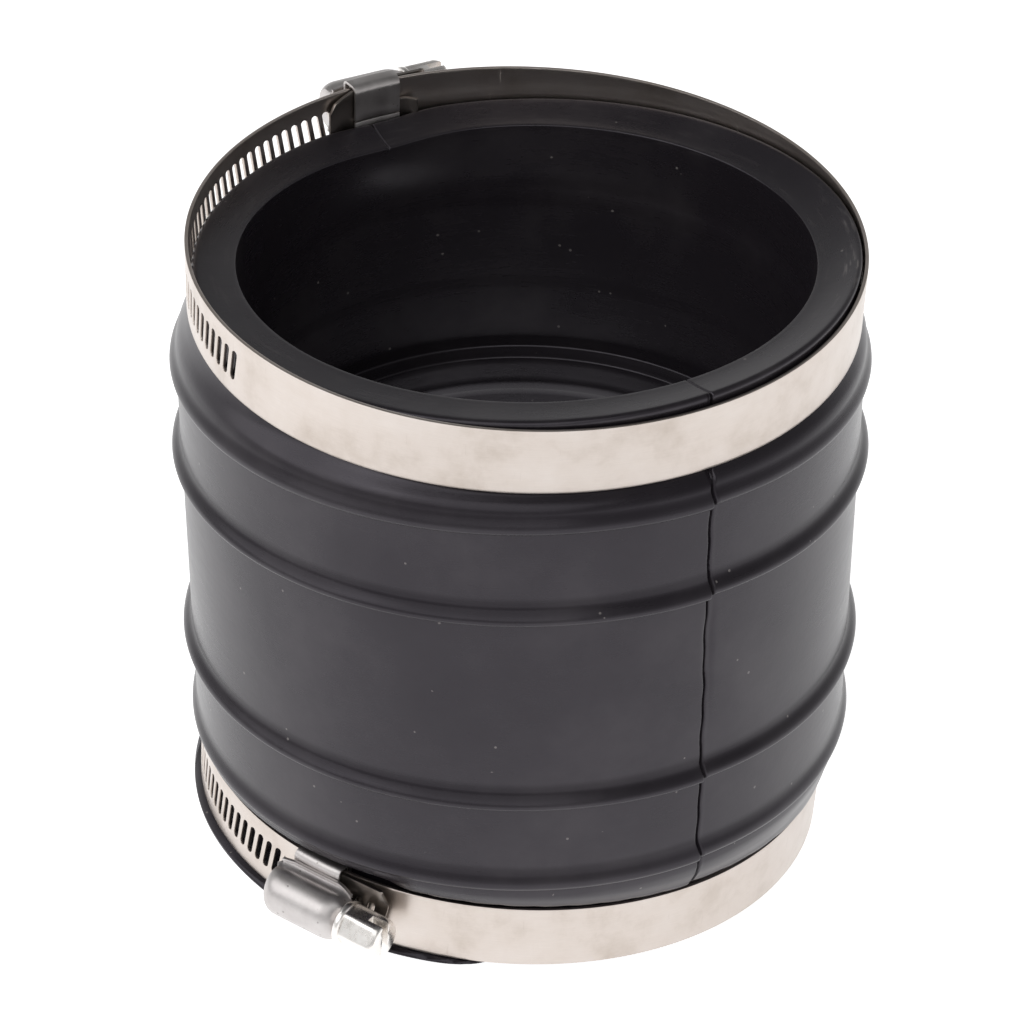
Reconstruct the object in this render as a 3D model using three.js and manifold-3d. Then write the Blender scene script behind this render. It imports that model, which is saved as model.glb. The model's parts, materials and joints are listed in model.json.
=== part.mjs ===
// A straight rubber pipe coupling with a worm-drive clamp on each end.
// Millimetres, +Z up along the sleeve's axis. The origin is at the middle of the floor space
// that the coupling takes up, with its clamps: z = 0 is the plane that it stands on.

import * as THREE from "three";
import { mergeVertices } from "three/addons/utils/BufferGeometryUtils.js";
import Module from "manifold-3d";

const wasm = await Module();
wasm.setup();

// Sleeve: a thick moulded rubber tube with four beads outside and a pipe stop inside.
const AXIS_Y = -1.5;
const SLEEVE_BOTTOM = 6.4;
const SLEEVE_HEIGHT = 107.6;
const MID_HEIGHT = 60.6;
const WALL_RADIUS = 59.2;
const BORE_RADIUS = 49.1;
const SEAT_RADIUS = 53.2;
const SEAT_LENGTH = 15.5;
const LOWER_SHIFT = [-1.8, 0.6];
const UPPER_SHIFT = [0.9, 0];
const SHIFTED_LENGTH = 13;
const STRAIGHT_BORE = 25;
const EDGE_ROUND = 1.2;
const STOP_RADIUS = 45.2;
const STOP_HALF_WIDTH = 6.7;
const BEAD_OFFSETS = [-35.9, -18.6, 18.6, 35.9];
const BEAD_RADIUS = 1.9;
const BEAD_PROUD = 1.4;
const BEAD_STEPS = 5;
const SLEEVE_SIDES = 60;

// Sheet metal of a clamp. The layers under the screw lie one on the other, a gap apart.
const GAP = 0.3;
const SHEET = 0.6;
const STRIP_THICKNESS = 0.65;
const STRIP_WIDTH = 12;
const STRIP_OUTER = 57.6;
const STRIP_INNER = STRIP_OUTER - STRIP_THICKNESS;
const TAIL_INNER = STRIP_OUTER + GAP;
const TAIL_OUTER = TAIL_INNER + STRIP_THICKNESS;
const SADDLE_OUTER = STRIP_INNER - GAP;
const SADDLE_INNER = SADDLE_OUTER - SHEET;
const PLATE_OUTER = SADDLE_INNER - GAP;
const PLATE_INNER = PLATE_OUTER - SHEET;
const LEDGE_INNER = TAIL_OUTER + GAP;
const LEDGE_OUTER = LEDGE_INNER + SHEET;
const BAND_SIDES = 96;

// Slots in the strip: slanted to suit the worm, one for each turn of its thread.
const THREAD_PITCH = 2.45;
const SLOT_LENGTH = 6;
const SLOT_WIDTH = 1.45;
const SLOT_SLANT = 0.2;
const SLOT_COUNT = 36;

// Lengths along the strip, measured from the middle of the housing.
const BAND_END = 1;
const SKIRT_START = -5.4;
const SKIRT_END = 4;
const TONGUE_REACH = 10.5;
const TONGUE_CHAMFER = 3;
const TAB_REACH = 7.5;
const TAB_HALF_WIDTH = 2;
const TAIL_START = -5;
const TAIL_TIP = 12.8;
const TAIL_CHAMFER = 3;
const TAIL_SLOTS = 5;

// Screw and the barrel that it turns in.
const CREST_RADIUS = 3.3;
const ROOT_RADIUS = 2.6;
const SCREW_X = TAIL_OUTER + GAP + CREST_RADIUS + 0.05;
const WORM_HALF_LENGTH = 6.2;
const BARREL_HALF_LENGTH = 7.4;
const BARREL_INNER = CREST_RADIUS + GAP;
const BARREL_OUTER = BARREL_INNER + 0.75;
const END_WALL = 0.8;
const PILOT_RADIUS = 1.5;
const NECK_RADIUS = 2.2;
const COLLAR_RADIUS = 4;
const COLLAR_START = 7.8;
const COLLAR_THICKNESS = 1.2;
const HEX_ACROSS_FLATS = 7;
const HEAD_TIP = 16.4;
const DRIVE_SLOT_WIDTH = 1.5;
const DRIVE_SLOT_DEPTH = 3;
const ROUND_SIDES = 24;

// Where each clamp sits: centre of its ring, tilt of its ring, the housing's direction and how
// far its first slot is from the middle of the housing.
const CLAMPS = [
  {
    name: "upper",
    centre: [0.9, 0, 111.8],
    tilt: [4.03, 1.62],
    turn: 118.65,
    flipped: true,
    firstSlot: 10.35,
  },
  {
    name: "lower",
    centre: [-1.6, 0.8, 10.1],
    tilt: [-1.17, 3.84],
    turn: -124.2,
    flipped: false,
    firstSlot: 11.6,
  },
];

const RUBBER = { color: 0x1d1c1e, roughness: 0.5, metalness: 0 };
const STRIP_STEEL = { color: 0xb9b1a9, roughness: 0.35, metalness: 1 };
const PRESSED_STEEL = { color: 0xa9a5a2, roughness: 0.4, metalness: 1 };
const SCREW_STEEL = { color: 0xc2bcb4, roughness: 0.3, metalness: 1 };

const deg = THREE.MathUtils.degToRad;

// Booleans: a closed geometry becomes a solid, and a solid becomes a geometry again.

function toSolid(geometry) {
  const bare = geometry.clone();
  bare.deleteAttribute("normal");
  bare.deleteAttribute("uv");
  const merged = mergeVertices(bare, 1e-4);
  const mesh = new wasm.Mesh({
    numProp: 3,
    vertProperties: new Float32Array(merged.attributes.position.array),
    triVerts: new Uint32Array(merged.index.array),
  });
  return new wasm.Manifold(mesh);
}

function toGeometry(solid) {
  const mesh = solid.getMesh();
  const geometry = new THREE.BufferGeometry();
  geometry.setAttribute("position", new THREE.BufferAttribute(mesh.vertProperties, 3));
  geometry.setIndex(new THREE.BufferAttribute(mesh.triVerts, 1));
  geometry.computeVertexNormals();
  return geometry;
}

// A ring about Z from a closed outline of [radius, height] points, anticlockwise.
function revolve(outline, sides) {
  const points = outline.map(([radius, height]) => new THREE.Vector2(radius, height));
  points.push(points[0].clone());
  const geometry = new THREE.LatheGeometry(points, sides);
  geometry.rotateX(Math.PI / 2);
  return geometry;
}

function ringSolid(inner, outer, halfWidth) {
  const outline = [
    [inner, -halfWidth],
    [outer, -halfWidth],
    [outer, halfWidth],
    [inner, halfWidth],
  ];
  return toSolid(revolve(outline, BAND_SIDES));
}

function blockSolid(low, high) {
  const size = high.map((value, i) => value - low[i]);
  const geometry = new THREE.BoxGeometry(...size);
  geometry.translate(...low.map((value, i) => value + size[i] / 2));
  return toSolid(geometry);
}

// A round bar along Y, at the screw's axis.
function barSolid(radius, start, end, sides = ROUND_SIDES) {
  const geometry = new THREE.CylinderGeometry(radius, radius, end - start, sides);
  geometry.translate(SCREW_X, (start + end) / 2, 0);
  return toSolid(geometry);
}

// A flat outline of [y, z] points, extruded along X from low to high.
function sheetSolid(outline, low, high) {
  const shape = new THREE.Shape(outline.map(([y, z]) => new THREE.Vector2(y, z)));
  const geometry = new THREE.ExtrudeGeometry(shape, { depth: high - low, bevelEnabled: false });
  const toXYZ = new THREE.Matrix4().makeBasis(
    new THREE.Vector3(0, 1, 0),
    new THREE.Vector3(0, 0, 1),
    new THREE.Vector3(1, 0, 0),
  );
  geometry.applyMatrix4(toXYZ);
  geometry.translate(low, 0, 0);
  return toSolid(geometry);
}

// Sleeve

function beadOutline(height) {
  const centre = WALL_RADIUS + BEAD_PROUD - BEAD_RADIUS;
  const reach = Math.acos((WALL_RADIUS - centre) / BEAD_RADIUS);
  const points = [];
  for (let i = 0; i <= BEAD_STEPS; i += 1) {
    const angle = reach * ((2 * i) / BEAD_STEPS - 1);
    const radius = centre + BEAD_RADIUS * Math.cos(angle);
    points.push([radius, height + BEAD_RADIUS * Math.sin(angle)]);
  }
  return points;
}

function sleeveOutline() {
  const bottom = SLEEVE_BOTTOM;
  const top = SLEEVE_BOTTOM + SLEEVE_HEIGHT;
  const beads = BEAD_OFFSETS.flatMap((offset) => beadOutline(MID_HEIGHT + offset));
  return [
    [BORE_RADIUS, bottom],
    [SEAT_RADIUS - EDGE_ROUND, bottom],
    [SEAT_RADIUS, bottom + EDGE_ROUND],
    [SEAT_RADIUS, bottom + SHIFTED_LENGTH],
    [SEAT_RADIUS, bottom + SEAT_LENGTH - EDGE_ROUND],
    [WALL_RADIUS, bottom + SEAT_LENGTH],
    ...beads,
    [WALL_RADIUS, top - SEAT_LENGTH],
    [SEAT_RADIUS, top - SEAT_LENGTH + EDGE_ROUND],
    [SEAT_RADIUS, top - SHIFTED_LENGTH],
    [SEAT_RADIUS, top - EDGE_ROUND],
    [SEAT_RADIUS - EDGE_ROUND, top],
    [BORE_RADIUS, top],
    [BORE_RADIUS, MID_HEIGHT + STRAIGHT_BORE],
    [BORE_RADIUS, MID_HEIGHT + STOP_HALF_WIDTH],
    [STOP_RADIUS, MID_HEIGHT + STOP_HALF_WIDTH],
    [STOP_RADIUS, MID_HEIGHT - STOP_HALF_WIDTH],
    [BORE_RADIUS, MID_HEIGHT - STOP_HALF_WIDTH],
    [BORE_RADIUS, MID_HEIGHT - STRAIGHT_BORE],
  ];
}

// Each clamp presses its end of the sleeve a little to one side.
function makeSleeve() {
  const geometry = revolve(sleeveOutline(), SLEEVE_SIDES);
  const points = geometry.attributes.position;
  const lowerEnd = SLEEVE_BOTTOM + SHIFTED_LENGTH + 0.1;
  const upperEnd = SLEEVE_BOTTOM + SLEEVE_HEIGHT - SHIFTED_LENGTH - 0.1;
  for (let i = 0; i < points.count; i += 1) {
    const height = points.getZ(i);
    if (height < lowerEnd || height > upperEnd) {
      const shift = height < lowerEnd ? LOWER_SHIFT : UPPER_SHIFT;
      points.setX(i, points.getX(i) + shift[0]);
      points.setY(i, points.getY(i) + shift[1]);
    }
  }
  return geometry;
}

// Clamp pieces. In a clamp's own frame the ring's axis is Z, the middle of the housing is on
// +X and the strip's free end points to +Y.

// One slanted slot, cut radially through the strip at a distance along it.
function slotSolid(distance) {
  const halfLength = SLOT_LENGTH / 2;
  const halfWidth = SLOT_WIDTH / 2;
  const lean = halfLength * SLOT_SLANT;
  const outline = [
    [-lean - halfWidth, -halfLength],
    [-lean + halfWidth, -halfLength],
    [lean + halfWidth, halfLength],
    [lean - halfWidth, halfLength],
  ];
  const angle = THREE.MathUtils.radToDeg(distance / STRIP_OUTER);
  return sheetSolid(outline, STRIP_INNER - 1, TAIL_OUTER + 1).rotate([0, 0, angle]);
}

function makeBand(firstSlot) {
  let band = ringSolid(STRIP_INNER, STRIP_OUTER, STRIP_WIDTH / 2);
  const halfWidth = STRIP_WIDTH;
  band = band.subtract(blockSolid([0, -BAND_END, -halfWidth], [WALL_RADIUS, BAND_END, halfWidth]));
  for (let i = 0; i < SLOT_COUNT; i += 1) {
    band = band.subtract(slotSolid(-firstSlot - i * THREAD_PITCH));
  }
  return toGeometry(band);
}

// The free end of the strip lies over the band's other end, and its corners are cut off.
function makeTail() {
  const half = STRIP_WIDTH / 2;
  const start = TAIL_START;
  const outline = [
    [start, -half],
    [TAIL_TIP - TAIL_CHAMFER, -half],
    [TAIL_TIP, TAIL_CHAMFER - half],
    [TAIL_TIP, half - TAIL_CHAMFER],
    [TAIL_TIP - TAIL_CHAMFER, half],
    [start, half],
  ];
  let tail = ringSolid(TAIL_INNER, TAIL_OUTER, half).intersect(sheetSolid(outline, 0, 80));
  for (let i = 0; i < TAIL_SLOTS; i += 1) {
    tail = tail.subtract(slotSolid(i * THREAD_PITCH));
  }
  return toGeometry(tail);
}

// The saddle carries the strip past the screw: a tongue one way and a hooked tab the other.
function makeSaddle() {
  const half = STRIP_WIDTH / 2;
  const outline = [
    [-TONGUE_REACH, TONGUE_CHAMFER - half],
    [TONGUE_CHAMFER - TONGUE_REACH, -half],
    [SKIRT_END, -half],
    [SKIRT_END, -TAB_HALF_WIDTH],
    [TAB_REACH, -TAB_HALF_WIDTH],
    [TAB_REACH, TAB_HALF_WIDTH],
    [SKIRT_END, TAB_HALF_WIDTH],
    [SKIRT_END, half],
    [TONGUE_CHAMFER - TONGUE_REACH, half],
    [-TONGUE_REACH, half - TONGUE_CHAMFER],
  ];
  const ring = ringSolid(SADDLE_INNER, SADDLE_OUTER, half);
  return toGeometry(ring.intersect(sheetSolid(outline, 0, 80)));
}

// The housing is one pressed sheet: a barrel over the screw, a ledge each side of it, and
// skirts that fold round the strip's edges and meet under the saddle.
function makeHousing() {
  const channel = STRIP_WIDTH / 2 + GAP;
  const skirt = channel + SHEET;
  const ends = BARREL_HALF_LENGTH;
  const wrap = ringSolid(PLATE_INNER, LEDGE_OUTER, skirt).intersect(
    blockSolid([0, SKIRT_START, -skirt - 1], [80, SKIRT_END, skirt + 1]),
  );
  const ledge = ringSolid(LEDGE_INNER, LEDGE_OUTER, channel - 0.6).intersect(
    blockSolid([0, -ends, -skirt], [80, ends, skirt]),
  );
  const shoulder = blockSolid(
    [LEDGE_INNER - 0.6, -ends, -BARREL_OUTER],
    [SCREW_X, ends, BARREL_OUTER],
  );
  const hollowEnd = ends - END_WALL;
  const well = blockSolid(
    [LEDGE_INNER - 2, -hollowEnd, -BARREL_INNER],
    [SCREW_X, hollowEnd, BARREL_INNER],
  );
  const housing = wrap
    .add(ledge)
    .add(shoulder)
    .add(barSolid(BARREL_OUTER, -ends, ends))
    .subtract(ringSolid(PLATE_OUTER, LEDGE_INNER, channel))
    .subtract(well)
    .subtract(barSolid(BARREL_INNER, -hollowEnd, hollowEnd))
    .subtract(barSolid(PILOT_RADIUS + GAP, -ends - 1, 0))
    .subtract(barSolid(NECK_RADIUS + GAP, 0, ends + 1));
  return toGeometry(housing);
}

// The worm's surface: its radius rises and falls once for each pitch, and the wave turns with
// the angle, so that the crests make one right-handed thread.
function wormSolid() {
  const around = 16;
  const along = 36;
  const length = 2 * WORM_HALF_LENGTH;
  const vertices = [];
  const faces = [];
  for (let j = 0; j <= along; j += 1) {
    const y = -WORM_HALF_LENGTH + (length * j) / along;
    for (let i = 0; i < around; i += 1) {
      const angle = (2 * Math.PI * i) / around;
      const wave = Math.cos((2 * Math.PI * y) / THREAD_PITCH - angle);
      const radius = THREE.MathUtils.mapLinear(wave, -1, 1, ROOT_RADIUS, CREST_RADIUS);
      vertices.push(SCREW_X + radius * Math.sin(angle), y, radius * Math.cos(angle));
    }
  }
  for (let j = 0; j < along; j += 1) {
    for (let i = 0; i < around; i += 1) {
      const next = (i + 1) % around;
      const a = j * around + i;
      const b = j * around + next;
      faces.push(a, b, b + around, a, b + around, a + around);
    }
  }
  for (const [ring, flip] of [[0, true], [along, false]]) {
    const centre = vertices.length / 3;
    vertices.push(SCREW_X, ring === 0 ? -WORM_HALF_LENGTH : WORM_HALF_LENGTH, 0);
    for (let i = 0; i < around; i += 1) {
      const a = ring * around + i;
      const b = ring * around + ((i + 1) % around);
      faces.push(...(flip ? [centre, b, a] : [centre, a, b]));
    }
  }
  const geometry = new THREE.BufferGeometry();
  geometry.setAttribute("position", new THREE.Float32BufferAttribute(vertices, 3));
  geometry.setIndex(faces);
  return toSolid(geometry);
}

function makeScrew() {
  const collarEnd = COLLAR_START + COLLAR_THICKNESS;
  const hexCorner = HEX_ACROSS_FLATS / 2 / Math.cos(Math.PI / 6);
  const slotStart = HEAD_TIP - DRIVE_SLOT_DEPTH;
  const driveSlot = blockSolid(
    [SCREW_X - DRIVE_SLOT_WIDTH / 2, slotStart, -COLLAR_RADIUS - 1],
    [SCREW_X + DRIVE_SLOT_WIDTH / 2, HEAD_TIP + 1, COLLAR_RADIUS + 1],
  );
  const screw = wormSolid()
    .add(barSolid(PILOT_RADIUS, -BARREL_HALF_LENGTH - 0.5, 0))
    .add(barSolid(NECK_RADIUS, 0, COLLAR_START + 0.5))
    .add(barSolid(COLLAR_RADIUS, COLLAR_START, collarEnd))
    .add(barSolid(hexCorner, collarEnd - 0.2, HEAD_TIP, 6))
    .subtract(driveSlot);
  return toGeometry(screw);
}

// Assembly

function addPiece(parent, name, geometry, finish) {
  const mesh = new THREE.Mesh(geometry, new THREE.MeshStandardMaterial(finish));
  mesh.name = name;
  parent.add(mesh);
}

function addClamp(parent, { name, centre, tilt, turn, flipped, firstSlot }) {
  const ring = new THREE.Group();
  ring.position.set(...centre);
  ring.rotation.set(deg(tilt[0]), deg(tilt[1]), 0);
  const turned = new THREE.Group();
  turned.rotation.z = deg(turn);
  const clamp = new THREE.Group();
  clamp.rotation.x = flipped ? Math.PI : 0;
  addPiece(clamp, `${name}_band`, makeBand(firstSlot), STRIP_STEEL);
  addPiece(clamp, `${name}_band_tail`, makeTail(), STRIP_STEEL);
  addPiece(clamp, `${name}_saddle`, makeSaddle(), STRIP_STEEL);
  addPiece(clamp, `${name}_housing`, makeHousing(), PRESSED_STEEL);
  addPiece(clamp, `${name}_screw`, makeScrew(), SCREW_STEEL);
  turned.add(clamp);
  ring.add(turned);
  parent.add(ring);
}

const coupling = new THREE.Group();
coupling.position.y = AXIS_Y;
addPiece(coupling, "sleeve", makeSleeve(), RUBBER);
CLAMPS.forEach((clamp) => addClamp(coupling, clamp));

export default coupling;
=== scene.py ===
import json
import math

import bmesh
import bpy
import numpy as np
from mathutils import Matrix, Vector


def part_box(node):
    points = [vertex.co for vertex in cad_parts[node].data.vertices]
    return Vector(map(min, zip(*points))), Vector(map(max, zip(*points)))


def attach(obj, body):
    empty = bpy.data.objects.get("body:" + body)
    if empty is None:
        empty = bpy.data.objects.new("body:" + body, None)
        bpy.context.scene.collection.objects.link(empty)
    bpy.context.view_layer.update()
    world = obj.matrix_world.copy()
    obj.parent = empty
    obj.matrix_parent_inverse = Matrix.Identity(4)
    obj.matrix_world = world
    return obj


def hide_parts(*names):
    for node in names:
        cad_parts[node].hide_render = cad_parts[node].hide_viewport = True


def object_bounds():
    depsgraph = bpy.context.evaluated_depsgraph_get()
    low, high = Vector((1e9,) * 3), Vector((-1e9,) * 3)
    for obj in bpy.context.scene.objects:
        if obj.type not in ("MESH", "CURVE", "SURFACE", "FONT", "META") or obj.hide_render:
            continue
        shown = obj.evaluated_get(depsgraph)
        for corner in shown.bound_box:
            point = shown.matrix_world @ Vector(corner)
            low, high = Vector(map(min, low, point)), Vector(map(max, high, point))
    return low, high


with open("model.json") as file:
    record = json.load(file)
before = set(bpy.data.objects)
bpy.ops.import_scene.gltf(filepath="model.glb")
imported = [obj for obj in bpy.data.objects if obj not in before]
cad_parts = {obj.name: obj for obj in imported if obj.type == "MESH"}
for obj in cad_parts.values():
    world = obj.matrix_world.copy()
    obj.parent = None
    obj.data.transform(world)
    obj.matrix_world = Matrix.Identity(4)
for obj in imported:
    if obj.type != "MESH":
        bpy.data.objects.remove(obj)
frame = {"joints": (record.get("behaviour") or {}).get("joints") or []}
CAD_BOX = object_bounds()
JOINTS = {joint["name"]: joint for joint in frame["joints"]}
MM = 0.001

# Sleeve, in millimetres: heights are above the sleeve's lower end, azimuth 0 faces the camera
# side (-Y) and grows towards +X.
SLEEVE_LOW, SLEEVE_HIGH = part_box("sleeve")
SLEEVE_X = (SLEEVE_LOW.x + SLEEVE_HIGH.x) / 2
SLEEVE_Y = (SLEEVE_LOW.y + SLEEVE_HIGH.y) / 2
HEIGHT = (SLEEVE_HIGH.z - SLEEVE_LOW.z) / MM
STOP_HEIGHT = 54.2
WALL = 59.2
BORE = 49.1
LOWER_SEAT = 55.0
UPPER_SEAT = 56.6
SEAT_TOP = 16.2
TAPER_FROM = 93.8
STOP_BORE = 45.2
STOP_HALF = 6.7
BEADS = ((-35.9, 0.9), (-18.5, 1.6), (18.7, 1.6), (35.9, 1.1))
SEAM = 31.0

# Clamp strip and pressed metal, in millimetres.
STRIP_WIDTH = 12.0
STRIP_THICKNESS = 0.65
STRIP_RADIUS = 57.6 - STRIP_THICKNESS / 2
SLOT_PITCH = 2.45
SLOT_LENGTH = 6.0
SLOT_WIDTH = 1.4
SLOT_SLANT = 0.2
FIRST_SLOT = {"upper": 10.35, "lower": 11.6}
SLOT_COUNT = 36
TAIL_RADIUS = 58.225
TAIL_TIP = 12.8
TAIL_CHAMFER = 2.6
TAIL_LIFT = 1.1
SHEET = 0.6
FINE_EDGE = 0.12
SADDLE_RADIUS = 56.35
BARREL_HALF = 7.4
LEDGE_TOP = 59.8
SCREW_AXIS = 62.2

# Camera, placed from the middle of the sleeve at the height of its pipe stop.
CAMERA_OFFSET = (0.0, -481.0, 312.0)
CAMERA_TURN = (57.109, -0.066, 0.213)
CAMERA_LENS = 112.98


def smooth(x):
    """0 below 0, 1 above 1, and a soft step between them."""
    t = np.clip(x, 0.0, 1.0)
    return t * t * (3.0 - 2.0 * t)


def bump(x, width):
    """A soft bell of height 1 at 0."""
    return np.exp(-((x / width) ** 2))


def turn_from(azimuth, centre):
    """Azimuth from centre, in degrees, between -180 and 180."""
    return (azimuth - centre + 180.0) % 360.0 - 180.0


# ---------------------------------------------------------------- meshes


def make_object(name, points, faces):
    """A smooth-shaded mesh object, in the units of its points."""
    mesh = bpy.data.meshes.new(name)
    mesh.from_pydata([tuple(p) for p in points], [], faces)
    mesh.polygons.foreach_set("use_smooth", [True] * len(mesh.polygons))
    mesh.update()
    obj = bpy.data.objects.new(name, mesh)
    bpy.context.scene.collection.objects.link(obj)
    return obj


def apply_modifiers(obj):
    graph = bpy.context.evaluated_depsgraph_get()
    mesh = bpy.data.meshes.new_from_object(obj.evaluated_get(graph))
    obj.modifiers.clear()
    obj.data = mesh


def finish_piece(obj, body, node, material):
    obj.data.materials.clear()
    obj.data.materials.append(material)
    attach(obj, body)
    if node:
        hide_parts(node)


def arc(centre, radius, start, end, steps):
    """Points of an arc in the (radius, height) plane, angles in degrees from outwards."""
    angles = np.radians(np.linspace(start, end, steps + 1))
    return [(centre[0] + radius * math.cos(a), centre[1] + radius * math.sin(a)) for a in angles]


def line(start, end, step):
    count = max(1, round(math.dist(start, end) / step))
    return [
        (start[0] + (end[0] - start[0]) * i / count, start[1] + (end[1] - start[1]) * i / count)
        for i in range(count)
    ]


# ---------------------------------------------------------------- sleeve


def ring_height(name, azimuth):
    """Height of the middle of a band at an azimuth, in millimetres."""
    centre = Vector(JOINTS[f"{name}_clamp_turn"]["pos_m"])
    axis = Vector(JOINTS[f"{name}_band_travel"]["axis"])
    turn = np.radians(azimuth)
    tilt = (axis.x * np.sin(turn) - axis.y * np.cos(turn)) / axis.z
    return (centre.z - SLEEVE_LOW.z) / MM - STRIP_RADIUS * tilt


def ring_lean(name, height):
    """How far a band's axis stands off the sleeve's at a height, in millimetres."""
    centre = Vector(JOINTS[f"{name}_clamp_turn"]["pos_m"])
    axis = Vector(JOINTS[f"{name}_band_travel"]["axis"])
    rise = height - (centre.z - SLEEVE_LOW.z) / MM
    return ((centre.x - SLEEVE_X) / MM + rise * axis.x / axis.z,
            (centre.y - SLEEVE_Y) / MM + rise * axis.y / axis.z)


def bead_points(offset, proud):
    """The outside of one bead: a tight round below its crest and a long soft fillet above."""
    height = STOP_HEIGHT + offset
    points = [(WALL, height - 1.25)]
    for angle in range(-90, 1, 15):
        turn = math.radians(angle)
        points.append((WALL + proud * math.cos(turn), height + 0.95 * math.sin(turn)))
    for step in range(1, 9):
        share = step / 8
        points.append((WALL + proud * (0.5 + 0.5 * math.cos(math.pi * share)) ** 1.25, height + 2.9 * share))
    return points


def sleeve_profile():
    """Closed outline of the wall, anticlockwise, from the bore's lower edge."""
    lower, upper = LOWER_SEAT, UPPER_SEAT
    stop_top = STOP_HEIGHT + STOP_HALF
    stop_bottom = STOP_HEIGHT - STOP_HALF
    points = line((BORE + 0.3, 0), (lower - 0.8, 0), 1.0)
    points += arc((lower - 0.8, 0.8), 0.8, -90, 0, 5)
    points += line((lower, 0.8), (lower, 5), 0.35)[1:]
    points += line((lower, 5), (lower, SEAT_TOP), 0.4)
    for offset, proud in BEADS:
        bead = bead_points(offset, proud)
        if points[-1][0] == WALL:
            points += line((WALL, points[-1][1] + 0.3), bead[0], 1.3)
        points += bead
    points += line((upper, TAPER_FROM), (upper, HEIGHT - 1.0), 0.5)
    points += arc((upper - 1.0, HEIGHT - 1.0), 1.0, 0, 90, 6)
    points += line((upper - 1.0, HEIGHT), (BORE + 0.25, HEIGHT), 0.5)[1:]
    points += arc((BORE + 0.25, HEIGHT - 0.25), 0.25, 90, 180, 3)
    points += line((BORE, HEIGHT - 0.25), (BORE, stop_top + 0.5), 1.2)[1:]
    points += arc((BORE - 0.5, stop_top + 0.5), 0.5, 0, -90, 3)
    points += line((BORE - 0.5, stop_top), (STOP_BORE + 0.5, stop_top), 0.8)[1:]
    points += arc((STOP_BORE + 0.5, stop_top - 0.5), 0.5, 90, 180, 3)
    points += line((STOP_BORE, stop_top - 0.5), (STOP_BORE, STOP_HEIGHT + 0.3), 1.2)[1:]
    points += [(STOP_BORE - 0.35, STOP_HEIGHT)]
    points += line((STOP_BORE, STOP_HEIGHT - 0.3), (STOP_BORE, stop_bottom + 0.5), 1.2)
    points += arc((STOP_BORE + 0.5, stop_bottom + 0.5), 0.5, 180, 270, 3)
    points += line((STOP_BORE + 0.5, stop_bottom), (BORE, stop_bottom), 0.8)[1:]
    points += line((BORE, stop_bottom), (BORE, 0.3), 2.0)
    points += arc((BORE + 0.3, 0.3), 0.3, 180, 270, 3)[:-1]
    return np.array(points)


def sleeve_azimuths():
    """Even steps, with extra ones across the two mould seams."""
    parts = ((-2.0, -0.5, 0.25), (-0.5, 0.5, 0.1), (0.5, 2.01, 0.25))
    fine = np.concatenate([np.arange(*part) for part in parts])
    coarse = np.arange(-180.0, 180.0, 0.9)
    seams = (SEAM, SEAM - 180.0)
    keep = [a for a in coarse if all(abs(turn_from(a, s)) > 2.2 for s in seams)]
    return np.array(sorted(keep + [s + f for s in seams for f in fine]))


def seam_wobble(height):
    return 0.10 * np.sin(height * 0.9) + 0.1 * np.sin(height * 0.31 + 1.0)


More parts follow.
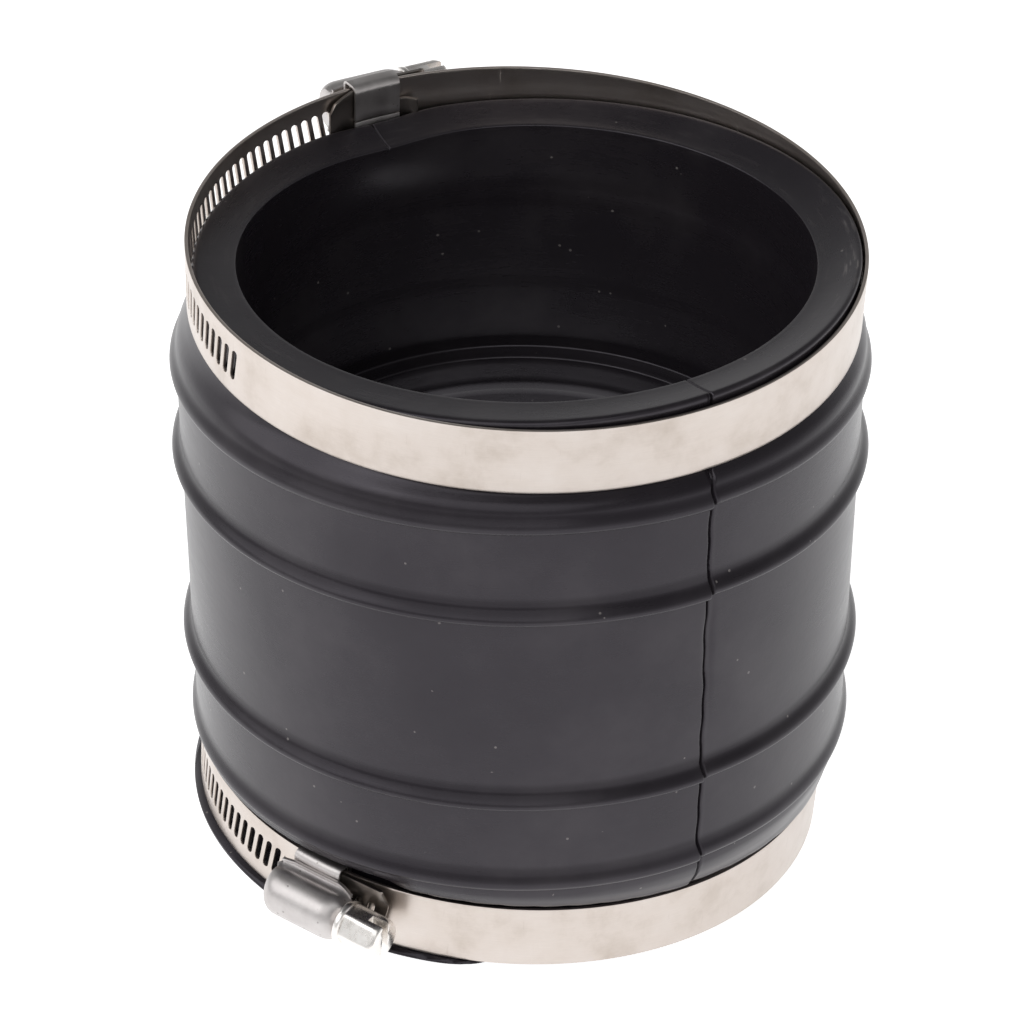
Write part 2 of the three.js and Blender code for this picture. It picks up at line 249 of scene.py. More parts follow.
def shape_sleeve(azimuth, radius, height):
    """Turns the ideal outline into the moulded, squeezed one; all in millimetres."""
    outside = smooth((radius - 54) / 1.5)
    upper_edge = ring_height("upper", azimuth) - STRIP_WIDTH / 2
    lower_edge = ring_height("lower", azimuth) + STRIP_WIDTH / 2
    # the wall runs in to the upper band, and down to the lower one or to a sharp ledge
    run_in = 1 - smooth((height - TAPER_FROM + 0.7) / (upper_edge + 1.3 - TAPER_FROM))
    run_in = np.where((height > TAPER_FROM - 0.1) & (np.abs(radius - UPPER_SEAT) < 0.01), run_in, 0)
    ledge = smooth((azimuth + 112) / 14) * smooth((-16 - azimuth) / 20)
    run_down = smooth((height - lower_edge - 0.5) / 1.3) * (0.8 + 0.2 * smooth((height - lower_edge) / 5))
    run_down = (1 - ledge) * run_down + ledge * smooth((height - 14.4) / 1.5) ** 0.6
    run_down = np.where((height < SEAT_TOP) & (np.abs(radius - LOWER_SEAT) < 0.01), run_down, 0)
    radius = radius + (WALL - UPPER_SEAT) * run_in + (WALL - LOWER_SEAT) * run_down
    top = smooth((height - HEIGHT + 1.5) / 1.0)
    across = turn_from(azimuth, SEAM + 0.5 * smooth((22 - height) / 6))
    opposite = turn_from(azimuth, SEAM - 180.0)
    near = np.where(np.abs(across) < 90, across, -opposite) + seam_wobble(height)
    groove = bump(near, 0.17)
    wide = bump(near - 0.6, 0.8) * bump(height - 62, 9)
    fin = bump(near - 0.6, 0.22) * (0.6 + 0.4 * np.sin(height * 1.7))
    step = 0.38 * np.tanh(near / 0.3) * bump(near, 14.0)
    height = height + outside * (1 - top) * step
    radius = radius - outside * (0.7 * groove + 0.35 * wide - 0.07 * fin)
    height = height - 0.35 * top * groove
    high = smooth((height - 91.5) / 5)
    low = smooth((16.5 - height) / 6)
    reach = np.clip((radius - BORE) / (UPPER_SEAT - BORE), 0, 1)
    rise = 0.3 + 2.6 * (0.5 + 0.5 * np.cos(np.radians(azimuth - 125))) ** 1.3
    mouth = smooth((height - 96) / 10)
    height = height + mouth * rise * reach ** 1.5
    height = height - 0.9 * mouth * bump(turn_from(azimuth, -140.0), 30) * (1 - reach)
    radius = radius - 1.3 * mouth * bump(turn_from(azimuth, -150.0), 11) * (1 - reach) ** 0.5
    radius = radius - 1.7 * smooth((height - 99) / 3) * bump(turn_from(azimuth, -151.0), 8) * reach ** 2
    # squeezed out below the lower band on the left
    drop = 1.3 * smooth((azimuth + 60) / 50) * smooth((20 - azimuth) / 20)
    height = height - drop * smooth((5 - height) / 5)
    skirt = 1.2 * bump(turn_from(azimuth, -34.2), 7)
    below = smooth((lower_edge - STRIP_WIDTH + 0.15 - skirt - height) / 0.7)
    squeezed = below * smooth((azimuth + 150) / 20) * smooth((14 - azimuth) / 26)
    radius = radius + 3.9 * squeezed * smooth((radius - 52) / 2.5)
    lower_lean = ring_lean("lower", height)
    upper_lean = ring_lean("upper", height)
    lean_x = lower_lean[0] * low + upper_lean[0] * high
    lean_y = lower_lean[1] * low + upper_lean[1] * high
    return radius, height, lean_x, lean_y


def make_sleeve():
    profile = sleeve_profile()
    azimuths = sleeve_azimuths()
    grid_azimuth, grid_radius = np.meshgrid(azimuths, profile[:, 0], indexing="ij")
    grid_height = np.broadcast_to(profile[:, 1], grid_radius.shape)
    radius, height, lean_x, lean_y = shape_sleeve(grid_azimuth, grid_radius, grid_height)
    turn = np.radians(grid_azimuth)
    x = SLEEVE_X + (radius * np.sin(turn) + lean_x) * MM
    y = SLEEVE_Y + (lean_y - radius * np.cos(turn)) * MM
    z = SLEEVE_LOW.z + height * MM
    points = np.stack([x, y, z], axis=-1).reshape(-1, 3)
    rows, columns = radius.shape
    faces = []
    for i in range(rows):
        after = (i + 1) % rows
        for j in range(columns):
            beside = (j + 1) % columns
            faces.append((i * columns + j, after * columns + j,
                          after * columns + beside, i * columns + beside))
    obj = make_object("sleeve_skin", points, faces)
    finish_piece(obj, "sleeve", "sleeve", rubber_material())
    return obj


# ---------------------------------------------------------------- clamps


def clamp_frame(name):
    """Turns a clamp's own millimetres into metres of the frame. The ring's axis is Z, the
    middle of the housing is on X and the strip's free end points along Y."""
    centre = Vector(JOINTS[f"{name}_clamp_turn"]["pos_m"])
    up = Vector(JOINTS[f"{name}_band_travel"]["axis"]).normalized()
    along = -Vector(JOINTS[f"{name}_screw_turn"]["axis"]).normalized()
    out = along.cross(up)
    turned = Matrix((out, along, up)).transposed().to_4x4()
    return Matrix.Translation(centre) @ turned @ Matrix.Scale(MM, 4)


def place(obj, matrix):
    obj.data.transform(matrix)
    obj.data.update()


def onto_ring(obj, lift=None):
    """Bends a flat strip (x along it, y across it, z its height above the ring's radius)
    round the ring, and keeps the flat x and y as its UV map."""
    mesh = obj.data
    flat = np.empty(len(mesh.vertices) * 3, dtype=np.float32)
    mesh.vertices.foreach_get("co", flat)
    flat = flat.reshape(-1, 3).astype(float)
    layer = mesh.uv_layers.new(name="UVMap")
    loop_points = np.empty(len(mesh.loops), dtype=np.int32)
    mesh.loops.foreach_get("vertex_index", loop_points)
    layer.data.foreach_set("uv", (flat[loop_points, :2] / 100).astype(np.float32).ravel())
    radius = flat[:, 2] + (lift(flat[:, 0]) if lift else 0)
    angle = flat[:, 0] / STRIP_RADIUS
    bent = np.stack([radius * np.cos(angle), radius * np.sin(angle), flat[:, 1]], axis=-1)
    mesh.vertices.foreach_set("co", bent.astype(np.float32).ravel())
    mesh.update()


def slot_cell():
    """Half-cell outline points for one slot: the hole's edge and the matching cell edge."""
    half = SLOT_PITCH / 2
    straight = (SLOT_LENGTH - SLOT_WIDTH) / 2
    hole, cell = [], []
    for i in range(13):
        angle = math.radians(15 * i)
        c, s = math.cos(angle), math.sin(angle)
        reach = half / max(abs(c), abs(s))
        hole.append((SLOT_WIDTH / 2 * c, straight + SLOT_WIDTH / 2 * s))
        cell.append((reach * c, straight + reach * s))
    hole += [(-x, -y) for x, y in hole]
    cell += [(-x, -y) for x, y in cell]
    return hole, cell


def flat_strip(name, spans, radius):
    """A flat strip as one surface with shared points: spans are (kind, start, end) along it,
    where kind is 'plain' or 'slots'."""
    mesh = bmesh.new()
    half = STRIP_WIDTH / 2
    cells = {}

    def point(x, y):
        key = (round(x, 3), round(y, 3))
        if key not in cells:
            cells[key] = mesh.verts.new((x, y, radius))
        return cells[key]

    def face(*corners):
        mesh.faces.new([point(*corner) for corner in corners])

    hole, cell = slot_cell()
    rows = sorted({round(y, 3) for x, y in cell if abs(abs(x) - SLOT_PITCH / 2) < 1e-6})
    rows = [-half, -half + 0.5, *rows, half - 0.5, half]
    for kind, start, end in spans:
        if kind == "plain":
            count = max(1, round((end - start) / 1.8))
            steps = [start + (end - start) * i / count for i in range(count + 1)]
            for a, b in zip(steps, steps[1:]):
                for low, high in zip(rows, rows[1:]):
                    face((a, low), (b, low), (b, high), (a, high))
            continue
        count = round((end - start) / SLOT_PITCH)
        for i in range(count):
            middle = start + (i + 0.5) * SLOT_PITCH
            total = len(hole)
            for j in range(total):
                k = (j + 1) % total
                face((middle + hole[j][0], hole[j][1]), (middle + cell[j][0], cell[j][1]),
                     (middle + cell[k][0], cell[k][1]), (middle + hole[k][0], hole[k][1]))
            tops = [p for p in cell[:13] if abs(p[1] - cell[6][1]) < 1e-6]
            for side in (1, -1):
                levels = [cell[6][1] * side, (half - 0.5) * side, half * side]
                for low, high in zip(levels, levels[1:]):
                    for p, q in zip(tops, tops[1:]):
                        corners = [(middle + p[0], low), (middle + p[0], high),
                                   (middle + q[0], high), (middle + q[0], low)]
                        face(*(corners if side > 0 else corners[::-1]))
    mesh.normal_update()
    bmesh.ops.recalc_face_normals(mesh, faces=mesh.faces)
    data = bpy.data.meshes.new(name)
    mesh.to_mesh(data)
    mesh.free()
    obj = bpy.data.objects.new(name, data)
    bpy.context.scene.collection.objects.link(obj)
    return obj


def lean_points(obj):
    """Shears the strip so that its slots lean to suit the worm."""
    for vertex in obj.data.vertices:
        vertex.co.x += SLOT_SLANT * vertex.co.y


def thicken(obj, thickness, edge):
    """Gives a surface its thickness, evenly to both sides, and fine rounded edges."""
    solidify = obj.modifiers.new("thickness", "SOLIDIFY")
    solidify.thickness = thickness
    solidify.offset = 0.0
    solidify.use_even_offset = True
    bevel = obj.modifiers.new("edges", "BEVEL")
    bevel.width = edge
    bevel.segments = 2
    bevel.limit_method = "ANGLE"
    bevel.angle_limit = math.radians(50)
    apply_modifiers(obj)


def finish_metal(obj, clamp, body, node, material):
    obj.data.polygons.foreach_set("use_smooth", [True] * len(obj.data.polygons))
    obj.data.set_sharp_from_angle(angle=math.radians(40))
    place(obj, clamp)
    finish_piece(obj, body, node, material)


def make_band(name, clamp, material):
    """The loop of strip, from just past the screw all the way round to it again."""
    round_trip = 2 * math.pi * STRIP_RADIUS
    slots_end = round_trip - FIRST_SLOT[name] + SLOT_PITCH / 2
    slots_start = slots_end - SLOT_COUNT * SLOT_PITCH
    spans = [("plain", 1.5, slots_start), ("slots", slots_start, slots_end),
             ("plain", slots_end, round_trip - 1.5)]
    obj = flat_strip(f"{name}_strip", spans, STRIP_RADIUS)
    lean_points(obj)
    thicken(obj, STRIP_THICKNESS, FINE_EDGE)
    onto_ring(obj)
    finish_metal(obj, clamp, f"{name}_clamp", f"{name}_band", material)


def make_tail(name, clamp, material):
    """The strip's free end: slotted, with cut corners, sprung up a little off the band."""
    slots_end = 5 * SLOT_PITCH - SLOT_PITCH / 2
    slots_start = slots_end - 6 * SLOT_PITCH
    tip, chamfer = TAIL_TIP, TAIL_CHAMFER
    spans = [("slots", slots_start, slots_end), ("plain", slots_end, tip)]
    obj = flat_strip(f"{name}_strip_end", spans, TAIL_RADIUS)
    half = STRIP_WIDTH / 2
    for vertex in obj.data.vertices:
        x, y = vertex.co.x, vertex.co.y
        if x > slots_end + 0.01:
            limit = tip - max(0.0, abs(y) - half + chamfer)
            share = (x - slots_end) / (tip - slots_end)
            vertex.co.x = slots_end + share * (limit - slots_end)
    lean_points(obj)
    thicken(obj, STRIP_THICKNESS, FINE_EDGE)

    def lift(along):
        return TAIL_LIFT * np.clip((along - 4.5) / (TAIL_TIP - 4.5), 0, 1) ** 1.6

    onto_ring(obj, lift)
    finish_metal(obj, clamp, f"{name}_band_tail", f"{name}_band_tail", material)


def sheet_object(name, rows):
    """One surface from rows of points."""
    points = [p for row in rows for p in row]
    width = len(rows[0])
    faces = [
        (i * width + j, (i + 1) * width + j, (i + 1) * width + j + 1, i * width + j + 1)
        for i in range(len(rows) - 1)
        for j in range(width - 1)
    ]
    return make_object(name, points, faces)


def ring_point(radius, along, across):
    angle = along / STRIP_RADIUS
    return (radius * math.cos(angle), radius * math.sin(angle), across)


def make_saddle(name, clamp, material):
    """Inner plate: a tongue with cut corners one way, a narrow hooked tab the other."""
    rows = []
    half = STRIP_WIDTH / 2
    for along in np.linspace(-10.6, 4.0, 26):
        cut = 0.36 * max(0.0, -5.4 - along) + 1.1 * max(0.0, -9.4 - along)
        width = half - cut
        rows.append([ring_point(SADDLE_RADIUS - 0.35 * smooth((-6.5 - along) / 4), along, width * t)
                     for t in np.linspace(-1, 1, 9)])
    obj = sheet_object(f"{name}_saddle_plate", rows)
    tab = []
    for along in np.linspace(3.6, 7.6, 10):
        hook = 1.3 * smooth((along - 5.4) / 2.2)
        tab.append([ring_point(SADDLE_RADIUS - hook, along, 2.2 * t) for t in np.linspace(-1, 1, 5)])
    tab_obj = sheet_object(f"{name}_tab", tab)
    join(obj, tab_obj)
    thicken(obj, SHEET, FINE_EDGE)
    finish_metal(obj, clamp, f"{name}_clamp", f"{name}_saddle", material)


def join(obj, *others):
    """Adds other objects' meshes to the first and removes them."""
    mesh = bmesh.new()
    mesh.from_mesh(obj.data)
    for other in others:
        mesh.from_mesh(other.data)
        data = other.data
        bpy.data.objects.remove(other)
        bpy.data.meshes.remove(data)
    mesh.to_mesh(obj.data)
    mesh.free()


def housing_top_row(along):
    """One cross-section of the pressed barrel and its ledges, as (across, radius) points."""
    end = min(1.0, max(0.0, abs(along) - 4.7) / 2.7)
    head_end = end if along > 0 else 0.0
    ledge = 5.3 - 0.5 * end - 1.0 * head_end**2
    points = [(ledge, LEDGE_TOP), (ledge - 0.45, LEDGE_TOP), (ledge - 0.8, LEDGE_TOP + 0.05)]
    for angle in range(-16, 197, 8):
        c = math.cos(math.radians(angle))
        s = math.sin(math.radians(angle))
        size = 4.05 * (1.0 - 0.10 * end**2)
        dent = 0.24 * head_end**1.5 * bump(angle - 42, 34) + 0.10 * end**2 * bump(angle - 90, 70)
        size *= 1.0 - dent
        rise = (SCREW_AXIS - 60.0 + size * s) * (1 - 0.12 * end**3)
        points.append((min(size * c, ledge - 0.9), 60.0 + rise))
    low_ledge = 5.3 - 0.5 * end
    points += [(0.85 - low_ledge, LEDGE_TOP + 0.05), (0.45 - low_ledge, LEDGE_TOP), (-low_ledge, LEDGE_TOP)]
    return points


def barrel_rows():
    """The barrel's cross-sections along the screw, closed in at both ends."""
    half = BARREL_HALF
    stations = [-half, -half + 0.15, -half + 0.45, -half + 0.9, -half + 1.4, -half + 2.0, -half + 2.7]
    stations = stations + [-3.4, -1.7, 0.0]
    stations += [-along for along in stations[-2::-1]]
    rows = [[(radius, along, across) for across, radius in housing_top_row(along)] for along in stations]
    for index, side, closing in ((0, -1, (0.93, 0.84, 0.6, 0.3)), (-1, 1, (0.93, 0.84, 0.7, 0.62))):
        base = rows[index]
        for number, keep in enumerate(closing):
            wall = []
            for radius, along, across in base:
                if radius < 60.2:
                    wall.append((radius, side * (half + 0.02 * number), across))
                    continue
                reach = half + (0.12, 0.2, 0.22, 0.2)[number]
                wall.append((60.1 + (radius - 60.1) * keep, side * reach, across * keep))
            if side < 0:
                rows.insert(0, wall)
            else:
                rows.append(wall)
    return rows


def skirt_path():
    """The sheet folded round the strip's edge, from beside the barrel to under the saddle."""
    path = [(3.9, 59.15), (4.6, 59.15), (5.3, 59.15), (5.7, 59.15)]
    for angle in range(15, 91, 15):
        a = math.radians(angle)
        path.append((5.75 + 0.95 * math.sin(a), 58.2 + 0.95 * math.cos(a)))
    path += [(6.7, 57.4), (6.7, 56.7)]
    for angle in range(15, 91, 15):
        a = math.radians(angle)
        path.append((5.6 + 1.1 * math.cos(a), 56.55 - 1.1 * math.sin(a)))
    return path + [(4.8, 55.45), (3.5, 55.45), (1.9, 55.45), (0.12, 55.45)]


def make_housing(name, clamp, material):
    shell = sheet_object(f"{name}_housing_shell", barrel_rows())
    thicken(shell, SHEET, 0.14)
    skirts = []
    for side in (1, -1):
        rows = []
        for along in np.linspace(-5.4, 4.0, 9):
            rows.append([ring_point(radius, along, side * across) for across, radius in skirt_path()])
        skirt = sheet_object(f"{name}_skirt_{side}", rows[::side])
        thicken(skirt, SHEET, FINE_EDGE)
        skirts.append(skirt)
    join(shell, *skirts)
    finish_metal(shell, clamp, f"{name}_clamp", f"{name}_housing", material)


def turned(name, outline, sides):
    """A turned part along Y from (distance along, radius) pairs; radius may be a function."""
    rows = []
    for along, radius in outline:
        row = []
        for i in range(sides):
            angle = 2 * math.pi * i / sides
            r = radius(angle) if callable(radius) else radius
            row.append((SCREW_AXIS + r * math.sin(angle), along, r * math.cos(angle)))
        rows.append(row)
    points = [p for row in rows for p in row]
    faces = []
    for i in range(len(rows) - 1):
        for j in range(sides):
            k = (j + 1) % sides
            faces.append((i * sides + j, i * sides + k, (i + 1) * sides + k, (i + 1) * sides + j))
    first, last = len(points), len(points) + 1
    points += [(SCREW_AXIS, outline[0][0], 0), (SCREW_AXIS, outline[-1][0], 0)]
    base = (len(rows) - 1) * sides
    for j in range(sides):
        k = (j + 1) % sides
        faces.append((first, k, j))
        faces.append((last, base + j, base + k))
    return make_object(name, points, faces)


def hexagon(across_flats, limit):
    def radius(angle):
        part = (angle + math.pi / 6) % (math.pi / 3) - math.pi / 6
        return min(limit, across_flats / 2 / math.cos(part))
    return radius


def make_screw(name, clamp, material):
    flats = 7.0
    head = turned(f"{name}_hex_screw", [
        (7.0, 2.2), (7.85, 2.2), (7.88, 3.6), (8.0, 3.95), (8.2, 4.1), (8.8, 4.1), (9.0, 4.0),
        (9.15, 3.7), (9.2, hexagon(flats - 0.3, 3.6)), (9.28, hexagon(flats, 3.95)),
        (15.2, hexagon(flats, 3.95)), (15.7, hexagon(flats, 3.8)), (16.1, hexagon(flats, 3.6)),
        (16.35, hexagon(flats, 3.4)), (16.45, 3.1), (16.45, 1.5)], 72)
    cutter = make_object(f"{name}_slot_cutter", [
        (SCREW_AXIS + 0.8 * sx, 13.3 + (4 if sy > 0 else 0), 6 * sz)
        for sx in (-1, 1) for sy in (-1, 1) for sz in (-1, 1)],
        [(0, 1, 3, 2), (4, 6, 7, 5), (0, 4, 5, 1), (2, 3, 7, 6), (0, 2, 6, 4), (1, 5, 7, 3)])
    cut = head.modifiers.new("slot", "BOOLEAN")
    cut.operation = "DIFFERENCE"
    cut.solver = "EXACT"
    cut.object = cutter
    bevel = head.modifiers.new("edges", "BEVEL")
    bevel.width = 0.1
    bevel.segments = 2
    bevel.limit_method = "ANGLE"
    bevel.angle_limit = math.radians(40)
    apply_modifiers(head)
    bpy.data.objects.remove(cutter)
    worm = make_worm(name)
    join(head, worm)
    finish_metal(head, clamp, f"{name}_screw", f"{name}_screw", material)


def make_worm(name):
    points, faces = [], []
    around, along, half, pitch = 24, 84, 6.2, SLOT_PITCH
    for j in range(along + 1):
        y = -half + 2 * half * j / along
        for i in range(around):
            angle = 2 * math.pi * i / around
            wave = math.cos(2 * math.pi * y / pitch - angle)
            r = 2.95 + 0.35 * max(-1.0, min(1.0, wave * 1.6))
            points.append((SCREW_AXIS + r * math.sin(angle), y, r * math.cos(angle)))
    for j in range(along):
        for i in range(around):
            k = (i + 1) % around
            faces.append((j * around + i, j * around + k, (j + 1) * around + k, (j + 1) * around + i))
    return make_object(f"{name}_worm", points, faces)


def make_clamp(name, strip, shaded_strip, pressed, screw):
    clamp = clamp_frame(name)
    make_band(name, clamp, strip)
    # The tail and the saddle plate get the darker copy of the strip colour, as painted shade.
    make_tail(name, clamp, shaded_strip)
    make_saddle(name, clamp, shaded_strip)
    make_housing(name, clamp, pressed)
    make_screw(name, clamp, screw)


# ---------------------------------------------------------------- materials


class Nodes:
    """A short way to build a material's nodes."""

    def __init__(self, name):
        self.material = bpy.data.materials.new(name)
        self.material.use_nodes = True
        self.tree = self.material.node_tree
        self.shader = self.tree.nodes["Principled BSDF"]

    def add(self, kind, **settings):
        node = self.tree.nodes.new(kind)
        inputs = settings.pop("inputs", {})
        for key, value in settings.items():
            setattr(node, key, value)
        for key, value in inputs.items():
            if isinstance(value, bpy.types.NodeSocket):
                self.tree.links.new(value, node.inputs[key])
            else:
                node.inputs[key].default_value = value
        return node

    def link(self, source, target):
        self.tree.links.new(source, target)

    def math(self, operation, a, b=0.0):
        return self.add("ShaderNodeMath", operation=operation, inputs={0: a, 1: b}).outputs[0]

    def noise(self, where, scale, detail, roughness):
        values = {"Vector": where, "Scale": scale, "Detail": detail, "Roughness": roughness}
        return self.add("ShaderNodeTexNoise", inputs=values).outputs["Fac"]

    def step(self, source, low, high):
        """0 at low, 1 at high, smooth in between."""
        values = {"Value": source, "From Min": low, "From Max": high}
        node = self.add("ShaderNodeMapRange", interpolation_type="SMOOTHSTEP", inputs=values)
        return node.outputs["Result"]

    def window(self, source, middle, half):
        """1 at the middle, fading to 0 at half away from it."""
        away = self.math("ABSOLUTE", self.math("SUBTRACT", source, middle))
        return self.math("SUBTRACT", 1.0, self.step(away, half * 0.3, half))

    def ramp(self, source, stops):
        node = self.add("ShaderNodeValToRGB", inputs={"Fac": source})
        ramp = node.color_ramp
        while len(ramp.elements) < len(stops):
            ramp.elements.new(0.5)
        for element, (place, colour) in zip(ramp.elements, stops):
            element.position = place
            element.color = (*colour, 1) if isinstance(colour, tuple) else (colour,) * 3 + (1,)
        return node.outputs["Color"]


def rubber_material():
    n = Nodes("moulded_rubber")
    where = n.add("ShaderNodeTexCoord").outputs["Object"]
    parts = n.add("ShaderNodeSeparateXYZ", inputs={"Vector": where})
    x = n.math("SUBTRACT", parts.outputs["X"], SLEEVE_X)
    y = n.math("SUBTRACT", SLEEVE_Y, parts.outputs["Y"])
    z = n.math("SUBTRACT", parts.outputs["Z"], SLEEVE_LOW.z)
    azimuth = n.math("ARCTAN2", x, y)
    radius = n.math("SQRT", n.math("ADD", n.math("MULTIPLY", x, x), n.math("MULTIPLY", y, y)))
    around = n.math("MULTIPLY", azimuth, 0.006)
    flat = n.add("ShaderNodeCombineXYZ", inputs={"X": around, "Y": radius, "Z": z}).outputs["Vector"]
    cloud = n.noise(where, 38, 5, 0.62)
    broad = n.noise(where, 14, 3, 0.5)
    streak = n.noise(flat, 1100, 4, 0.6)
    grain = n.noise(where, 1500, 2, 0.5)
    pits = n.noise(where, 420, 3, 0.55)
    specks = n.add("ShaderNodeTexVoronoi", inputs={"Vector": where, "Scale": 330})
    speck = n.math("LESS_THAN", specks.outputs["Distance"], 0.085)
    some = n.math("GREATER_THAN", n.noise(where, 160, 2, 0.6), 0.60)
    dust = n.math("MULTIPLY", speck, some)
    top = n.step(z, (HEIGHT - 1.5) * MM, (HEIGHT - 0.6) * MM)
    lines = n.step(streak, 0.54, 0.68)
    right = n.window(azimuth, math.radians(93), math.radians(28))
    left = n.window(azimuth, math.radians(-52), math.radians(16))
    outer = n.step(radius, 52.6 * MM, 55.5 * MM)
    scuff = n.math("MULTIPLY", n.math("ADD", right, left), outer)
    torn = n.math("MULTIPLY", lines, n.step(cloud, 0.4, 0.62))
    scuff = n.math("MULTIPLY", n.math("MULTIPLY", scuff, top), torn)
    rise = n.math("DIVIDE", z, MM)
    sway = n.math("MULTIPLY", n.math("SINE", n.math("MULTIPLY", rise, 0.9)), 0.10)
    slow = n.math("SINE", n.math("ADD", n.math("MULTIPLY", rise, 0.31), 1.0))
    sway = n.math("ADD", sway, n.math("MULTIPLY", slow, 0.1))
    turn = n.math("ADD", n.math("MULTIPLY", azimuth, 180 / math.pi), sway)
    shift = n.math("MULTIPLY", n.step(rise, 22.0, 16.0), 0.5)
    # Painted shade: the shine is cut along the mould seam's narrow groove, standing in for the shade inside
    # it.
    seam_groove_shade = n.window(n.math("SUBTRACT", turn, shift), SEAM, 0.35)
    seam_groove_shade = n.math("MULTIPLY", seam_groove_shade, n.step(radius, 56 * MM, 57 * MM))
    # Painted shade: the shine is cut in a soft band just above each bead, standing in for the shade in the
    # fillet there.
    bead_shade = 0.0
    for offset, _ in BEADS:
        bead_shade = n.math("ADD", bead_shade, n.window(rise, STOP_HEIGHT + offset + 2.3, 2.0))
    bead_shade = n.math("SUBTRACT", 1.0, n.math("MULTIPLY", bead_shade, 0.38))
    film = n.math("MULTIPLY", n.step(cloud, 0.45, 0.75), 0.035)
    film = n.math("ADD", film, n.math("MULTIPLY", n.math("MULTIPLY", top, lines), 0.04))
    mark = n.math("ADD", n.math("MULTIPLY", scuff, 0.55), n.math("ADD", n.math("MULTIPLY", dust, 0.5), film))
    colour = n.add("ShaderNodeMix", data_type="RGBA", clamp_factor=True)
    n.link(mark, colour.inputs["Factor"])
    colour.inputs["A"].default_value = (0.0125, 0.0105, 0.0130, 1)
    colour.inputs["B"].default_value = (0.24, 0.22, 0.21, 1)
    rough = n.math("ADD", 0.285, n.math("MULTIPLY", n.math("SUBTRACT", cloud, 0.5), 0.16))
    rough = n.math("ADD", rough, n.math("MULTIPLY", n.math("SUBTRACT", broad, 0.5), 0.12))
    rough = n.math("ADD", rough, n.math("MULTIPLY", n.math("SUBTRACT", streak, 0.5), 0.08))
    patchy = n.math("ADD", n.math("MULTIPLY", cloud, 0.26), n.math("MULTIPLY", broad, 0.14))
    patchy = n.math("ADD", 0.24, patchy)
    shine = n.math("MULTIPLY", n.math("SUBTRACT", 1.0, n.math("MULTIPLY", seam_groove_shade, 0.85)), patchy)
    shine = n.math("MULTIPLY", shine, bead_shade)
    relief = n.math("ADD", n.math("MULTIPLY", grain, 0.25), n.math("MULTIPLY", pits, 0.5))
    relief = n.math("ADD", relief, n.math("MULTIPLY", streak, 0.25))
    lift = n.add("ShaderNodeBump", inputs={"Height": relief, "Strength": 0.10, "Distance": 0.0003})
    n.link(colour.outputs["Result"], n.shader.inputs["Base Color"])
    n.link(rough, n.shader.inputs["Roughness"])
    n.link(shine, n.shader.inputs["Specular IOR Level"])
    n.link(lift.outputs["Normal"], n.shader.inputs["Normal"])
    n.shader.inputs["IOR"].default_value = 1.5
    n.shader.inputs["Specular Tint"].default_value = (0.99, 0.93, 1.04, 1)
    return n.material


def strip_material(name, tone):
    """Rolled strip: fine lines along it, faint cloudy stains and a few scratches."""
    n = Nodes(name)
    uv = n.add("ShaderNodeTexCoord").outputs["UV"]
    along = n.add("ShaderNodeMapping", inputs={"Vector": uv, "Scale": (4.0, 130.0, 1.0)}).outputs["Vector"]
    brush = n.noise(along, 6, 4, 0.6)
    stain = n.noise(uv, 9, 5, 0.65)
    slanting = {"Vector": uv, "Rotation": (0, 0, 0.5), "Scale": (60.0, 5.0, 1.0)}
    across = n.add("ShaderNodeMapping", inputs=slanting)
    scratch = n.step(n.noise(across.outputs["Vector"], 4, 2, 0.5), 0.70, 0.74)
    # tone scales every colour; the low tone gives the darker copy used as painted shade.
    tones = ((0.30, (0.53, 0.465, 0.415)), (0.5, (0.63, 0.565, 0.52)), (0.7, (0.665, 0.605, 0.565)))
    colour = n.ramp(stain, [(place, tuple(tone * level for level in levels)) for place, levels in tones])
    shade = n.add("ShaderNodeMix", data_type="RGBA", blend_type="MULTIPLY")
    shade.inputs["Factor"].default_value = 1.0
    n.link(colour, shade.inputs["A"])
    n.link(n.ramp(brush, [(0.3, 0.93), (0.7, 1.0)]), shade.inputs["B"])
    rough = n.math("ADD", 0.24, n.math("MULTIPLY", brush, 0.16))
    rough = n.math("ADD", rough, n.math("MULTIPLY", scratch, 0.2))
    lift = n.add("ShaderNodeBump", inputs={"Height": brush, "Strength": 0.06, "Distance": 0.0002})
    n.link(shade.outputs["Result"], n.shader.inputs["Base Color"])
    n.link(rough, n.shader.inputs["Roughness"])
    n.link(lift.outputs["Normal"], n.shader.inputs["Normal"])
    n.shader.inputs["Metallic"].default_value = 1.0
    return n.material


def pressed_material():
    """Dull pressed sheet with small pits and rubbed patches."""
    n = Nodes("pressed_sheet")
    where = n.add("ShaderNodeTexCoord").outputs["Object"]
    cloud = n.noise(where, 260, 4, 0.6)
    pit = n.add("ShaderNodeTexVoronoi", inputs={"Vector": where, "Scale": 700})
    hole = n.math("SUBTRACT", 1.0, n.step(pit.outputs["Distance"], 0.05, 0.2))
    hole = n.math("MULTIPLY", hole, n.step(n.noise(where, 420, 2, 0.5), 0.52, 0.6))
    colour = n.add("ShaderNodeMix", data_type="RGBA", clamp_factor=True)
    n.link(hole, colour.inputs["Factor"])
    n.link(n.ramp(cloud, [(0.3, (0.49, 0.462, 0.455)), (0.7, (0.60, 0.575, 0.565))]), colour.inputs["A"])
    colour.inputs["B"].default_value = (0.25, 0.23, 0.22, 1)
    rough = n.math("ADD", 0.30, n.math("MULTIPLY", cloud, 0.2))
    relief = n.math("SUBTRACT", n.math("MULTIPLY", cloud, 0.5), hole)
    lift = n.add("ShaderNodeBump", inputs={"Height": relief, "Strength": 0.25, "Distance": 0.0001})
    n.link(colour.outputs["Result"], n.shader.inputs["Base Color"])
    n.link(rough, n.shader.inputs["Roughness"])
    n.link(lift.outputs["Normal"], n.shader.inputs["Normal"])
    n.shader.inputs["Metallic"].default_value = 1.0
    return n.material


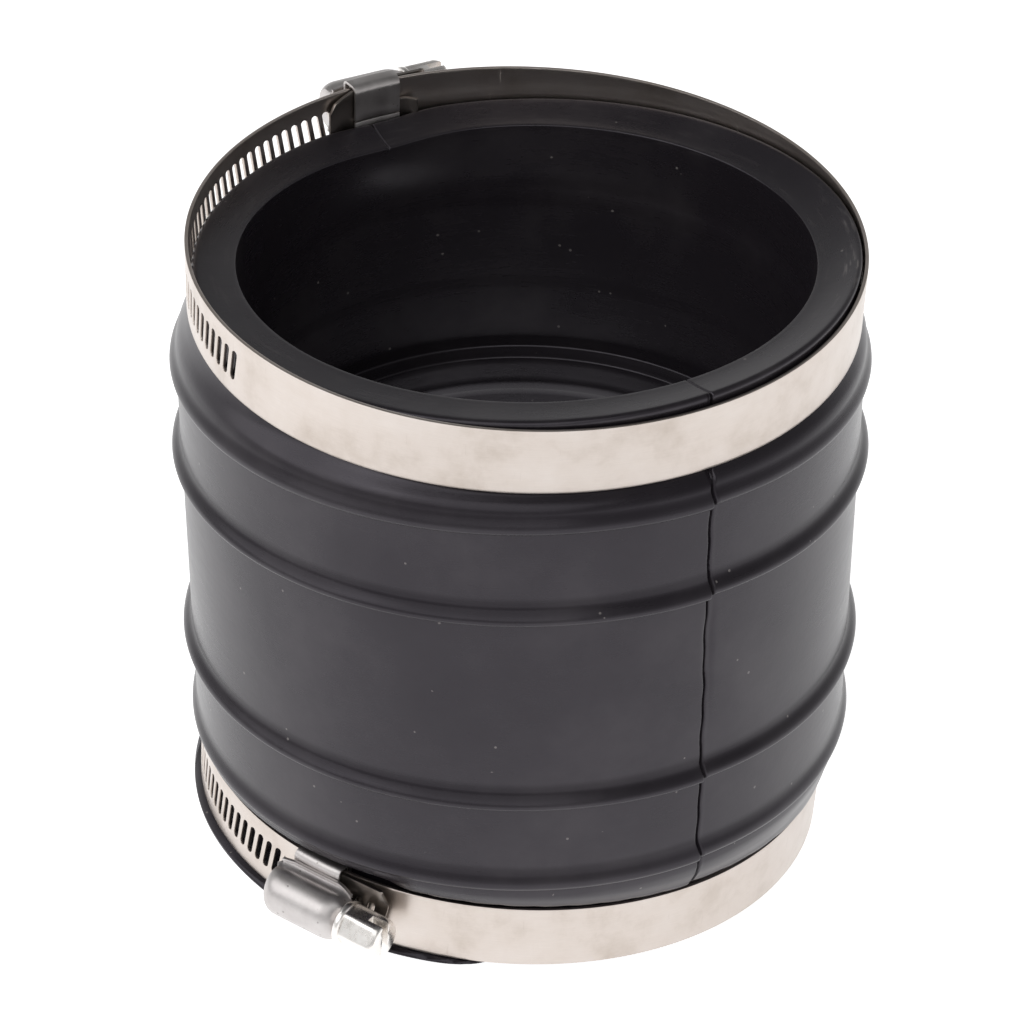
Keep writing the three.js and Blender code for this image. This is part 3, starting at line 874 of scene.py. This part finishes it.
def screw_material():
    """Bright tumbled steel."""
    n = Nodes("tumbled_screw")
    where = n.add("ShaderNodeTexCoord").outputs["Object"]
    cloud = n.noise(where, 500, 4, 0.6)
    colour = n.ramp(cloud, [(0.3, (0.78, 0.745, 0.71)), (0.7, (0.90, 0.875, 0.85))])
    n.link(colour, n.shader.inputs["Base Color"])
    n.link(n.math("ADD", 0.2, n.math("MULTIPLY", cloud, 0.15)), n.shader.inputs["Roughness"])
    n.shader.inputs["Metallic"].default_value = 1.0
    return n.material


# ---------------------------------------------------------------- stage


def make_stage():
    floor_mesh = bpy.data.meshes.new("floor")
    half = 4.0
    floor_mesh.from_pydata([(-half, -half, 0), (half, -half, 0), (half, half, 0), (-half, half, 0)],
                           [], [(0, 1, 2, 3)])
    floor = bpy.data.objects.new("floor", floor_mesh)
    bpy.context.scene.collection.objects.link(floor)
    floor.location.z = CAD_BOX[0].z - 0.0005
    n = Nodes("white_table")
    n.shader.inputs["Base Color"].default_value = (0.7, 0.7, 0.7, 1)
    n.shader.inputs["Roughness"].default_value = 1.0
    n.shader.inputs["Emission Color"].default_value = (1, 1, 1, 1)
    where = n.add("ShaderNodeTexCoord").outputs["Object"]
    parts = n.add("ShaderNodeSeparateXYZ", inputs={"Vector": where})
    across = n.window(parts.outputs["X"], 0.0, 0.28)
    ahead = n.window(parts.outputs["Y"], -0.22, 0.17)
    dim = n.math("MULTIPLY", n.math("MULTIPLY", across, ahead), 0.12)
    n.link(n.math("SUBTRACT", 0.95, dim), n.shader.inputs["Emission Strength"])
    floor.data.materials.append(n.material)


def make_world():
    world = bpy.data.worlds.new("studio")
    bpy.context.scene.world = world
    world.use_nodes = True
    tree = world.node_tree
    background = tree.nodes["Background"]
    where = tree.nodes.new("ShaderNodeTexCoord")
    parts = tree.nodes.new("ShaderNodeSeparateXYZ")
    ramp = tree.nodes.new("ShaderNodeValToRGB")
    tree.links.new(where.outputs["Generated"], parts.inputs[0])
    tree.links.new(parts.outputs["Z"], ramp.inputs["Fac"])
    tree.links.new(ramp.outputs["Color"], background.inputs["Color"])
    stops = [(0.0, 1.0), (0.12, 0.75), (0.5, 0.28), (1.0, 0.12)]
    while len(ramp.color_ramp.elements) < len(stops):
        ramp.color_ramp.elements.new(0.5)
    for element, (place, level) in zip(ramp.color_ramp.elements, stops):
        element.position = place
        element.color = (level, level, level, 1)
    background.inputs["Strength"].default_value = 1.0


def make_light(name, place, width, height, power):
    """A wide soft light aimed at the coupling."""
    data = bpy.data.lights.new(name, "AREA")
    data.shape = "RECTANGLE"
    data.size = width
    data.size_y = height
    data.energy = power
    light = bpy.data.objects.new(name, data)
    bpy.context.scene.collection.objects.link(light)
    light.location = place
    aim = Vector((0, 0, 0.06)) - light.location
    light.rotation_euler = aim.to_track_quat("-Z", "Y").to_euler()


def make_camera():
    data = bpy.data.cameras.new("camera")
    data.lens = CAMERA_LENS
    data.sensor_width = 36
    data.clip_start = 0.01
    camera = bpy.data.objects.new("camera", data)
    bpy.context.scene.collection.objects.link(camera)
    base = Vector((SLEEVE_X, SLEEVE_Y, SLEEVE_LOW.z + STOP_HEIGHT * MM))
    camera.location = base + Vector(CAMERA_OFFSET) * MM
    camera.rotation_euler = [math.radians(angle) for angle in CAMERA_TURN]
    bpy.context.scene.camera = camera
    bpy.context.scene.view_settings.view_transform = "Standard"


make_camera()
make_world()
make_light("front_softbox", (-0.25, -0.75, 0.95), 1.4, 0.9, 4.5)
make_light("left_softbox", (-0.95, -0.15, 0.85), 1.2, 0.9, 5.0)
make_stage()
make_sleeve()
STRIP = strip_material("rolled_strip", 0.95)
# Painted shade: a darker copy of the strip colour, standing in for the shade on the tail and the saddle
# plate.
SHADED_STRIP = strip_material("shaded_strip", 0.42)
PRESSED = pressed_material()
SCREW = screw_material()
for clamp_name in ("upper", "lower"):
    make_clamp(clamp_name, STRIP, SHADED_STRIP, PRESSED, SCREW)
